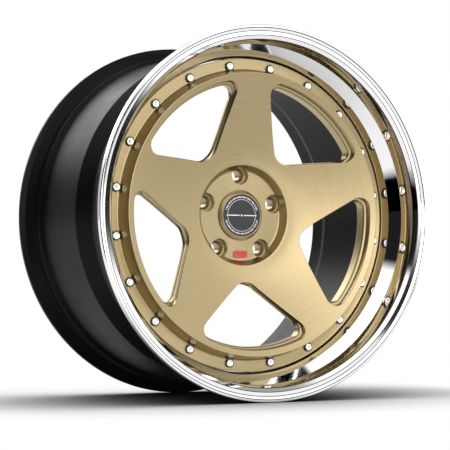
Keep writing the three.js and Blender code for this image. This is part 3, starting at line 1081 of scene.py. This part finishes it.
# ---------------------------------------------------------------- badge
def badge():
    """A small enamelled plate with rounded corners and a raised rim."""
    base_y = -53.3
    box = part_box("badge")
    centre = (box[0] + box[1]) / 2 / MM

    def outline(inset):
        width, height, corner = 12 - inset, 5.5 - inset, 4.6 - inset
        points = []
        for x, z, start in (
            (width, height, 0), (-width, height, 90), (-width, -height, 180), (width, -height, 270),
        ):
            middle = np.array([x - math.copysign(corner, x), z - math.copysign(corner, z)])
            for degrees in np.linspace(start, start + 90, 9):
                angle = math.radians(degrees)
                points.append(middle + corner * np.array([math.cos(angle), math.sin(angle)]))
        return np.array(points)

    steps = [(0, 0), (0, -0.75), (0.1, -0.92), (0.3, -1.0), (0.75, -1.0), (0.95, -0.92), (1.1, -0.62),
             (1.4, -0.55), (2.2, -0.57), (3.3, -0.6)]
    rings = []
    for inset, lift in steps:
        flat = outline(inset) + [centre.x, centre.z]
        rings.append(lifted(flat, np.full(len(flat), base_y + lift)))
    skin = Skin()
    skin.strip(rings)
    skin.cap(rings[0])
    skin.cap(rings[-1])
    stand_for(finished(skin.mesh("badge_plate"), "badge_plate", RED), "badge")


# ---------------------------------------------------------------- valve
VALVE_ANGLE = 270
VALVE_RADIUS = 233.1
VALVE_Y = -19.85
VALVE_TILT = 22.6
VALVE_STEPS = 48
KNURLS = 18


def at_valve():
    """Carries a piece from the axle to the valve's place in the barrel's wall."""
    lean = Matrix.Rotation(math.radians(VALVE_TILT - 90), 4, "X")
    move = Matrix.Translation((0, VALVE_Y * MM, VALVE_RADIUS * MM))
    turn = Matrix.Rotation(math.radians(90 - VALVE_ANGLE), 4, "Y")
    return turn @ move @ lean


def valve_piece(name, rings, material, node, closed=False):
    skin = Skin()
    skin.strip(rings, closed)
    if not closed:
        skin.cap(rings[0])
        skin.cap(rings[-1])
    return stand_for(piece_of(dressed(skin.mesh(name), material, 32), name, at_valve()), node)


def lathe(corners, closed=False, steps=VALVE_STEPS):
    points = rounded(corners, closed)
    return turned_rings(points if closed else points[1:-1], steps)


def dust_cap_rings():
    """The cap's bore first, then its mouth, its knurled side and its rounded top."""
    outline = rounded([[4.3, 26.3], [4.3, 16, 0.2], [5.3, 16, 0.4], [5.3, 27.2, 1.0], [4.2, 28.5, 0.8],
                       [0, 28.5]], closed=False)[:-1]
    smooth = [(radius, y, 0) for radius, y in outline]
    mouth = max(i for i, (_, y) in enumerate(outline) if y < 17) + 1
    knurled = [(5.3, 17.2, 0.1), (5.3, 17.8, 0.25), (5.3, 25.6, 0.25), (5.3, 26.2, 0.1)]
    rings = []
    for radius, y, depth in smooth[:mouth] + knurled + smooth[mouth:]:
        def radius_of(angles):
            return radius - depth * (1 - np.abs(np.cos(KNURLS / 2 * angles)))
        rings.append(shaped_ring(radius_of, y, 6 * KNURLS))
    return rings


def valve():
    where = at_valve()
    foot = [[0, -11], [8, -11, 0.6], [8, -8.5, 0.6], [4.1, -8.5, 0.3], [4.1, 0, 0.2], [4.1, 0.1], [0, 0.1]]
    stem = lathe(foot)[:-1]
    stem += thread(4.0, 4.4, 0.2, 9.0, 1.0, VALVE_STEPS)
    stem += lathe([[0, 9.2], [4.0, 9.2, 0.3], [3.5, 10.2, 0.3], [3.5, 16.5, 0], [0, 16.5]])[2:-1]
    stem += thread(3.55, 3.9, 16.6, 25.6, 0.8, VALVE_STEPS)
    stem += lathe([[0, 25.7], [3.5, 25.7, 0.1], [3.3, 26, 0.15], [2.2, 26, 0.15], [2.2, 8, 0.2], [0, 8]])[1:]
    valve_piece("stem", stem, STEEL, "valve_stem")

    grommet = [[4.8, -8.2, 0.3], [8.4, -8.2, 0.8], [8.4, -5.8, 0.8], [5.5, -5.8, 0.5], [5.5, -0.3, 0.25],
               [4.8, -0.3, 0.2]]
    valve_piece("rubber_grommet", lathe(grommet, closed=True), RUBBER, "valve_grommet", closed=True)

    nut = hex_nut_mesh("stem_nut_shape", 13, 0.3, 3.5, 4.5, STEEL)
    stand_for(piece_of(nut, "stem_nut", where), "valve_nut")

    pin = [[0, 10], [0.8, 10, 0.2], [0.8, 21, 0.1], [1.7, 21, 0.2], [1.7, 22, 0.2], [0.8, 22, 0.1],
           [0.8, 25.4, 0.5], [0, 25.4]]
    valve_piece("core_pin", lathe(pin, steps=24), BRASS, "valve_pin")

    valve_piece("dust_cap_body", dust_cap_rings(), RUBBER, "valve_cap")


centre_disc()
outer_lip()
inner_barrel()
sealant_bead()
fasteners()
lug_seats()
cap_body()
cap_inlay()
cap_print()
cap_spring()
badge()
valve()

# ---------------------------------------------------------------- stage, lights and camera
FLOOR_Z = cad_box[0].z
STUDIO_LEVEL = 1.35
CAMERA_LENS = 135.65  # mm, on a sensor 36 mm wide
CAMERA_PLACE = (-1.2323, -2.2436, -0.1132)  # metres, in front of the wheel and to its left
CAMERA_AIM = (0.4821, 0.8752, 0.0394)


def pointing(azimuth, elevation):
    """A direction from two angles in degrees. Azimuth 0 is the front, -Y, and 90 is +X."""
    azimuth, elevation = math.radians(azimuth), math.radians(elevation)
    level = math.cos(elevation)
    return Vector((math.sin(azimuth) * level, -math.cos(azimuth) * level, math.sin(elevation)))


def shaded_floor(tree):
    """1 on the floor in front of the black flag at the left, where no studio light falls, and 0 elsewhere."""
    _, x, y, _ = place(tree)
    aim = math.radians(-63)
    forward = calculate(tree, "SUBTRACT", calculate(tree, "MULTIPLY", x, math.sin(aim)),
                        calculate(tree, "MULTIPLY", y, math.cos(aim)))
    sideways = calculate(tree, "ADD", calculate(tree, "MULTIPLY", x, math.cos(aim)),
                         calculate(tree, "MULTIPLY", y, math.sin(aim)))
    angle = calculate(tree, "ABSOLUTE", calculate(tree, "ARCTAN2", sideways, forward))
    inside_cone = add_node(tree, "ShaderNodeMapRange", {
        "Value": angle, "From Min": math.radians(34), "From Max": math.radians(22)}).outputs[0]
    far_enough = add_node(tree, "ShaderNodeMapRange", {
        "Value": forward, "From Min": 0.7, "From Max": 0.95}).outputs[0]
    return calculate(tree, "MULTIPLY", inside_cone, far_enough)


def stage():
    """A pale floor that glows evenly, with a painted shadow that darkens its glow only where the wheel is
    close above it.
    """
    floor = bpy.data.meshes.new("floor")
    size = 30
    corners = [(-size, -size), (size, -size), (size, size), (-size, size)]
    floor.from_pydata([(x, y, FLOOR_Z) for x, y in corners], [], [(0, 1, 2, 3)])
    material = bpy.data.materials.new("pale_floor")
    material.use_nodes = True
    tree = material.node_tree
    tree.nodes.remove(tree.nodes["Principled BSDF"])
    # painted shadow: the glow falls off where the wheel closes in the floor
    open_sky = add_node(tree, "ShaderNodeAmbientOcclusion", {"Distance": 0.3}, samples=12).outputs["AO"]
    lit = calculate(tree, "POWER", open_sky, 2.6)
    seen = add_node(tree, "ShaderNodeLightPath").outputs["Is Camera Ray"]
    # painted shade on a patch of floor at the left, seen only in reflections
    shade = calculate(tree, "MULTIPLY", shaded_floor(tree), calculate(tree, "SUBTRACT", 1.0, seen))
    glow = add_node(tree, "ShaderNodeEmission", {
        "Strength": calculate(tree, "MULTIPLY", lit, calculate(tree, "SUBTRACT", 1.0, shade))})
    tree.links.new(glow.outputs[0], tree.nodes["Material Output"].inputs["Surface"])
    floor.materials.append(material)
    piece = bpy.data.objects.new("floor", floor)
    bpy.context.scene.collection.objects.link(piece)


def world():
    """A white studio: a key light in front, a soft box behind and black flags, seen only as reflections."""
    scene_world = bpy.data.worlds.new("studio")
    bpy.context.scene.world = scene_world
    scene_world.use_nodes = True
    tree = scene_world.node_tree
    direction = add_node(tree, "ShaderNodeTexCoord").outputs["Generated"]
    split = add_node(tree, "ShaderNodeSeparateXYZ", {0: direction})
    height = split.outputs[2]

    def soft_step(value, start, end):
        node = add_node(tree, "ShaderNodeMapRange", {"Value": value, "From Min": start, "From Max": end},
                        interpolation_type="SMOOTHSTEP")
        return node.outputs[0]

    def along(aim):
        node = add_node(tree, "ShaderNodeVectorMath", {0: direction, 1: aim}, operation="DOT_PRODUCT")
        return node.outputs["Value"]

    def towards(azimuth, elevation, inner, outer):
        """1 inside a cone of directions and 0 outside it."""
        cosine = along(pointing(azimuth, elevation))
        return soft_step(cosine, math.cos(math.radians(outer)), math.cos(math.radians(inner)))

    def band(low, high, soft):
        """1 between two elevations."""
        low, high, soft = (math.radians(v) for v in (low, high, soft))
        rise = soft_step(height, math.sin(low - soft), math.sin(low + soft))
        fall = soft_step(height, math.sin(high + soft), math.sin(high - soft))
        return calculate(tree, "MULTIPLY", rise, fall)

    def dimmed(light, mask, level):
        """The light, faded to a level where the mask is 1."""
        node = add_node(tree, "ShaderNodeMix", {"Factor": mask, "A": light, "B": level})
        return node.outputs["Result"]

    def flag(start, end, width, soft):
        """1 along a strip through two directions, given as (azimuth, elevation)."""
        across = pointing(*start).cross(pointing(*end)).normalized()
        distance = calculate(tree, "ABSOLUTE", along(across))
        return soft_step(distance, math.sin(math.radians(width + soft)), math.sin(math.radians(width - soft)))

    def both(first, second):
        return calculate(tree, "MULTIPLY", first, second)

    behind = soft_step(split.outputs[1], 0.0, 0.6)
    key_light = calculate(tree, "MULTIPLY", towards(-4, -1, 9, 43), 1.4)
    light = calculate(tree, "ADD", 1.0, key_light)
    light = dimmed(light, both(behind, band(-5, 55, 10)), 0.5)  # the back of the studio
    light = dimmed(light, towards(-172, 30, 6, 22), 2.6)  # a soft box that grazes the barrel
    light = dimmed(light, both(towards(-97, 5, 48, 62), band(-14, 27, 4)), 0.01)  # flag at the left
    # a thin slanting flag at the front right
    light = dimmed(light, both(towards(29, 2.5, 11, 15), flag((20, 9), (38, -4), 2.0, 0.8)), 0.01)
    light = dimmed(light, towards(90, 52, 16, 36), 0.3)  # the grey ceiling at the right
    light = dimmed(light, towards(97, 74, 10, 13), 0.02)  # and a black flag above it
    seen = add_node(tree, "ShaderNodeLightPath").outputs["Is Camera Ray"]
    strength = dimmed(calculate(tree, "MULTIPLY", light, STUDIO_LEVEL), seen, 1.0)
    background = tree.nodes["Background"]
    background.inputs["Color"].default_value = (1, 1, 1, 1)
    tree.links.new(strength, background.inputs["Strength"])


def camera():
    data = bpy.data.cameras.new("camera")
    data.lens = CAMERA_LENS
    data.sensor_width = 36
    data.clip_end = 100
    piece = bpy.data.objects.new("camera", data)
    bpy.context.scene.collection.objects.link(piece)
    piece.location = CAMERA_PLACE
    piece.rotation_mode = "QUATERNION"
    piece.rotation_quaternion = Vector(CAMERA_AIM).to_track_quat("-Z", "Y")
    bpy.context.scene.camera = piece


stage()
world()
camera()
bpy.context.scene.view_settings.view_transform = "Standard"
